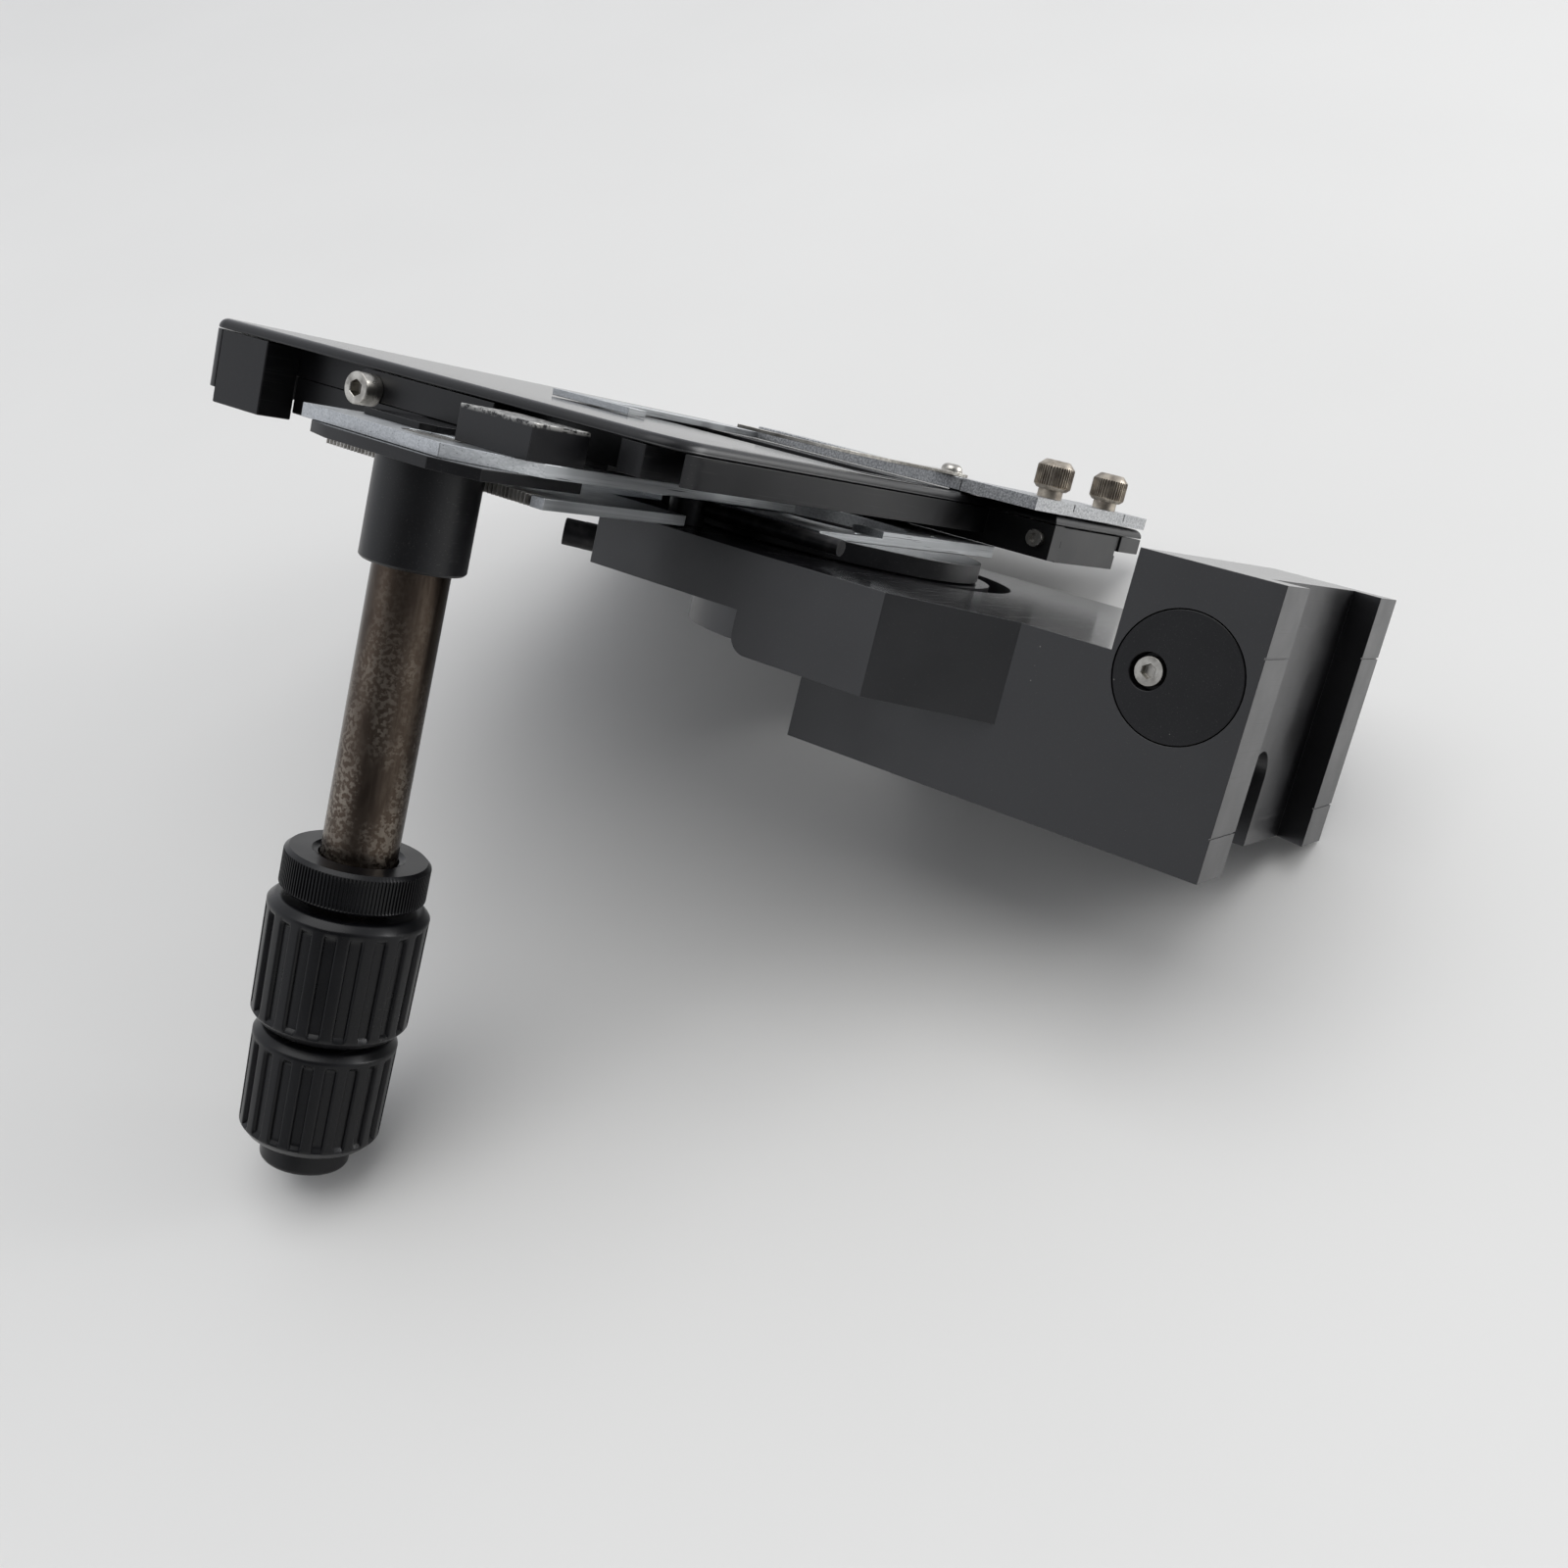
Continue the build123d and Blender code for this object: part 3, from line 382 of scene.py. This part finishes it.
def flute_tree():
    """Geometry nodes that press flutes or a straight knurl into the side of a turned blank."""
    tree = bpy.data.node_groups.new("press_flutes", "GeometryNodeTree")
    wants = (
        ("Flutes", "NodeSocketFloat"),
        ("Depth", "NodeSocketFloat"),
        ("Land", "NodeSocketFloat"),
        ("Low", "NodeSocketFloat"),
        ("High", "NodeSocketFloat"),
        ("Ramp", "NodeSocketFloat"),
        ("Centre", "NodeSocketVector"),
        ("Material", "NodeSocketMaterial"),
    )
    tree.interface.new_socket("Geometry", in_out="INPUT", socket_type="NodeSocketGeometry")
    for name, kind in wants:
        tree.interface.new_socket(name, in_out="INPUT", socket_type=kind)
    tree.interface.new_socket("Geometry", in_out="OUTPUT", socket_type="NodeSocketGeometry")
    given = add(tree, "NodeGroupInput").outputs
    place = add(tree, "GeometryNodeInputPosition").outputs[0]
    arm = add(tree, "ShaderNodeVectorMath", {0: place, 1: given["Centre"]}, operation="SUBTRACT").outputs[0]
    parts = add(tree, "ShaderNodeSeparateXYZ", {0: arm}).outputs
    height = add(tree, "ShaderNodeSeparateXYZ", {0: place}).outputs["Z"]
    angle = maths(tree, "ARCTAN2", parts["Y"], parts["X"])
    turns = maths(tree, "MULTIPLY", angle, maths(tree, "DIVIDE", given["Flutes"], 2 * math.pi))
    wave = maths(tree, "ABSOLUTE", maths(tree, "SUBTRACT", maths(tree, "FRACT", turns), 0.5))
    groove = smooth_step(tree, maths(tree, "MULTIPLY", wave, 2.0), given["Land"], 0.14)
    bottom = smooth_step(tree, height, given["Low"], given["Ramp"])
    top = maths(tree, "SUBTRACT", given["High"], given["Ramp"])
    past_top = smooth_step(tree, height, top, given["Ramp"])
    inside = maths(tree, "MULTIPLY", bottom, maths(tree, "SUBTRACT", 1.0, past_top))
    press = maths(tree, "MULTIPLY", maths(tree, "MULTIPLY", groove, inside), given["Depth"])
    flat = add(tree, "ShaderNodeCombineXYZ", {0: parts["X"], 1: parts["Y"]}).outputs[0]
    outward = add(tree, "ShaderNodeVectorMath", {0: flat}, operation="NORMALIZE").outputs[0]
    inward = maths(tree, "MULTIPLY", press, -1.0)
    move = add(tree, "ShaderNodeVectorMath", {0: outward, "Scale": inward}, operation="SCALE").outputs[0]
    pressed = add(tree, "GeometryNodeSetPosition", {"Geometry": given["Geometry"], "Offset": move}).outputs[0]
    real = add(tree, "GeometryNodeRealizeInstances", {0: pressed}).outputs[0]
    done = add(tree, "GeometryNodeSetMaterial", {"Geometry": real, "Material": given["Material"]}).outputs[0]
    add(tree, "NodeGroupOutput", {0: done})
    return tree


def smooth_step(tree, value, start, width):
    """0 below start, 1 past start plus width, with a soft rise."""
    along = maths(tree, "DIVIDE", maths(tree, "SUBTRACT", value, start), width)
    kind = "ShaderNodeMapRange"
    return add(tree, kind, {0: along}, interpolation_type="SMOOTHSTEP").outputs[0]


FLUTES = flute_tree()


def fluted(name, profile, centre, sides, material, stands_for, **sizes):
    """A turned blank with flutes; sizes are the tree's inputs, lengths in metres."""
    values = dict(sizes, Centre=(centre[0], centre[1], 0.0), Material=material)

    def press(maker):
        modifier = maker.modifiers.new("flutes", "NODES")
        modifier.node_group = FLUTES
        for socket in FLUTES.interface.items_tree:
            if socket.in_out == "INPUT" and socket.name in values:
                modifier[socket.identifier] = values[socket.name]

    mesh = applied(turned(profile, centre, sides), press)
    smooth_by_angle(mesh, GRIP_SHARP_DEGREES)
    return as_piece(name, mesh, BODY_OF[stands_for], material, stands_for)


def even_rows(radius_low, radius_high, low, high, count):
    """Rows of a straight or tapered side, close enough for the flute ends to be crisp."""
    rows = []
    for step in range(count + 1):
        share = step / count
        rows.append((radius_low + (radius_high - radius_low) * share, low + (high - low) * share))
    return rows


# ---- Knobs, ring and thumb screws ----
def grip_knob(node, name, bore_mm):
    """A drive knob: chamfered ends and wide shallow flutes with a rounded start."""
    low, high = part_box(node)
    radius = (high.x - low.x) / 2 / MM
    bottom, top = low.z / MM, high.z / MM
    taper = 0.35
    rows = 44
    profile = [(bore_mm, bottom + 0.8), (bore_mm + 0.6, bottom + 0.1), (radius - 2.0, bottom)]
    profile += [(radius - taper - 1.3, bottom + 0.25), (radius - taper - 0.2, bottom + 1.5)]
    profile += even_rows(radius - taper, radius, bottom + 1.8, top - 1.6, rows)
    profile += [(radius - 0.25, top - 1.25), (radius - 1.2, top - 0.3), (radius - 1.5, top - 0.05)]
    profile += [(radius - 2.6, top), (bore_mm + 0.6, top - 0.1), (bore_mm, top - 0.8)]
    profile.append(profile[0])
    fluted(
        name, profile, COLUMN, 400, FINISHES["knob_black"], node,
        Flutes=20.0, Depth=0.75 * MM, Land=0.46, Ramp=0.9 * MM,
        Low=(bottom + 2.0) * MM, High=(top - 2.4) * MM,
    )


Y_KNOB_BORE_R = 7.4
X_KNOB_BORE_R = 3.05
grip_knob("y_knob", "y_knob_fluted", Y_KNOB_BORE_R)
grip_knob("x_knob", "x_knob_fluted", X_KNOB_BORE_R)

ring_low, ring_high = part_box("tension_ring")
ring_r = (ring_high.x - ring_low.x) / 2 / MM
ring_z = (ring_low.z / MM, ring_high.z / MM)
ring_profile = [(7.7, ring_z[0]), (ring_r - 0.7, ring_z[0]), (ring_r - 0.05, ring_z[0] + 0.6)]
ring_profile += even_rows(ring_r, ring_r, ring_z[0] + 0.8, ring_z[1] - 1.0, 8)
ring_profile += [(ring_r - 0.1, ring_z[1] - 0.7), (ring_r - 0.9, ring_z[1]), (8.9, ring_z[1])]
ring_profile += [(8.3, ring_z[1] - 0.5), (7.7, ring_z[1] - 0.6), (7.7, ring_z[0])]
fluted(
    "tension_ring_knurled", ring_profile, COLUMN, 960, FINISHES["knob_black"], "tension_ring",
    Flutes=120.0, Depth=0.32 * MM, Land=0.3, Ramp=0.4 * MM,
    Low=(ring_z[0] + 0.5) * MM, High=(ring_z[1] - 0.7) * MM,
)

for thumb in ("thumb_screw_1", "thumb_screw_2"):
    low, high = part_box(thumb)
    middle = (low + high) / 2
    top = high.z / MM
    head_height = 7.0
    head = top - head_height
    tip = low.z / MM
    thumb_profile = [(0, tip), (1.9, tip), (2.0, tip + 0.2), (2.0, head - 2.0), (3.0, head - 2.0)]
    thumb_profile += [(3.0, head - 0.1), (3.6, head), (4.42, head + 0.8)]
    thumb_profile += even_rows(4.5, 4.5, head + 1.0, top - 1.8, 6)
    thumb_profile += [(4.4, top - 1.5), (3.1, top - 0.15), (2.8, top), (0, top)]
    fluted(
        thumb + "_knurled", thumb_profile, middle, 432, THUMB_STEEL, thumb,
        Flutes=42.0, Depth=0.45 * MM, Land=0.3, Ramp=0.25 * MM,
        Low=(head + 0.7) * MM, High=(top - 1.5) * MM,
    )

# ---- CAD pieces with broken edges ----
EDGES = {
    "carrier_bracket": 0.35,
    "clamp_cam_disc": 0.2,
    "cam_disc_screw": 0.15,
    "stage_top_plate": 0.2,
    "stage_frame": 0.3,
    "left_guide_wall": 0.2,
    "front_apron": 0.3,
    "front_corner_block": 0.3,
    "side_pad": 0.2,
    "side_pad_screw": 0.22,
    "guide_end_screw": 0.12,
    "drive_plate": 0.15,
    "bearing_plate": 0.15,
    "column_collar": 0.2,
    "column_tube": 0.1,
    "knob_end_cap": 0.15,
    "turntable_disc": 0.2,
    "turntable_plate": 0.15,
    "y_rail": 0.2,
    "cross_slide_bar": 0.2,
    "slide_arm": 0.12,
    "drive_spacer": 0.1,
    "rack_arm": 0.15,
    "side_skirt": 0.3,
    "clip_finger": 0.1,
    "lock_lever": 0.12,
    "clamp_screw": 0.2,
}
for node, edge_mm in EDGES.items():
    dressed(node, FINISHES[SLOT_OF[node]], edge_mm)
dressed("stop_block", CHIPPED, 0.15)
dressed("holder_plate", BLASTED, 0.15)
dressed("holder_bar", BLASTED, 0.15)

DRESSED = set(EDGES) | {"stop_block", "holder_plate", "holder_bar"}
DRESSED |= {"x_knob", "y_knob", "tension_ring", "thumb_screw_1", "thumb_screw_2"}
for node, item in frame["nodes"].items():
    if node not in DRESSED:
        item.data.materials.clear()
        item.data.materials.append(FINISHES[SLOT_OF[node]])

# ---- Floor: the assembly lies tipped on the knob's end cap and the bracket's lower left edge ----
bracket_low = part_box("carrier_bracket")[0]
cap_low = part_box("knob_end_cap")[0]
block_left = -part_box("clamp_cam_disc")[1].x
rise = bracket_low.z - cap_low.z
run = cap_low.x - block_left
tilt = math.atan2(rise, run)
floor_up = Vector((math.sin(tilt), 0, math.cos(tilt)))
FLOOR_GAP = 0.4 * MM
FLOOR_HALF = 3.0
floor_point = Vector((block_left, -0.1, bracket_low.z)) - floor_up * FLOOR_GAP
across = Vector((math.cos(tilt), 0, -math.sin(tilt)))
corners = []
for side, depth in ((-1, -1), (1, -1), (1, 1), (-1, 1)):
    corners.append(floor_point + across * side * FLOOR_HALF + Vector((0, depth * FLOOR_HALF, 0)))
floor_mesh = bpy.data.meshes.new("floor")
floor_mesh.from_pydata(corners, [], [(0, 1, 2, 3)])
floor = bpy.data.objects.new("floor", floor_mesh)
bpy.context.scene.collection.objects.link(floor)


def white_card():
    # Matt white card, clear from behind so that a view from below isn't blocked.
    material, tree, shader, where = new_material("matt_white_card")
    tone = blend_colour(tree, noise(tree, where, 180.0, 3.0), linear("#dcdbd8"), linear("#e4e3e0"))
    tree.links.new(tone, shader.inputs["Base Color"])
    shader.inputs["Roughness"].default_value = 0.55
    behind = add(tree, "ShaderNodeNewGeometry").outputs["Backfacing"]
    clear = add(tree, "ShaderNodeBsdfTransparent").outputs[0]
    mix = add(tree, "ShaderNodeMixShader", {0: behind, 1: shader.outputs[0], 2: clear})
    output = next(node for node in tree.nodes if node.type == "OUTPUT_MATERIAL")
    tree.links.new(mix.outputs[0], output.inputs["Surface"])
    return material


floor_mesh.materials.append(white_card())

# ---- Light ----
world = bpy.data.worlds.new("pale_room")
world.use_nodes = True
bpy.context.scene.world = world
world.node_tree.nodes["Background"].inputs["Color"].default_value = (0.93, 0.95, 1.0, 1)
# The room is dimmer on the side that the knob column and the bracket's right face look towards.
DIM_SIDE = (0.84, 0.49, 0.22)
ROOM_GLOW, DIM_GLOW = 0.84, 0.16
room = world.node_tree
direction = add(room, "ShaderNodeTexCoord").outputs["Generated"]
facing_dim = add(room, "ShaderNodeVectorMath", {0: direction, 1: DIM_SIDE}, operation="DOT_PRODUCT")
glow = spread(room, facing_dim.outputs["Value"], 0.45, 0.9, ROOM_GLOW, DIM_GLOW)
room.links.new(glow, room.nodes["Background"].inputs["Strength"])


STAGE_MIDDLE = Vector((0.02, -0.1, -0.03))


def soft_light(name, toward, distance, size, power):
    """A square soft box, seen from the stage's middle in the given direction; metres and watts."""
    light = bpy.data.lights.new(name, "AREA")
    light.size = size
    light.energy = power
    lamp = bpy.data.objects.new(name, light)
    bpy.context.scene.collection.objects.link(lamp)
    toward = Vector(toward).normalized()
    lamp.location = STAGE_MIDDLE + toward * distance
    lamp.rotation_euler = toward.to_track_quat("Z", "Y").to_euler()
    lamp.visible_camera = False


soft_light("overhead_softbox", floor_up + Vector((0, -0.05, 0)), 2.4, 2.2, 27)
soft_light("rear_softbox", (-0.6, 0.75, 0.5), 1.6, 1.2, 30)

# ---- Camera ----
camera_data = bpy.data.cameras.new("camera")
camera_data.sensor_width = 36
camera_data.lens = 37.36
camera = bpy.data.objects.new("camera", camera_data)
bpy.context.scene.collection.objects.link(camera)
camera.location = Vector((324.1, 78.3, 9.7)) * MM
camera.rotation_euler = [math.radians(turn) for turn in (76.829, -13.331, 123.576)]
bpy.context.scene.camera = camera
bpy.context.scene.view_settings.view_transform = "Standard"
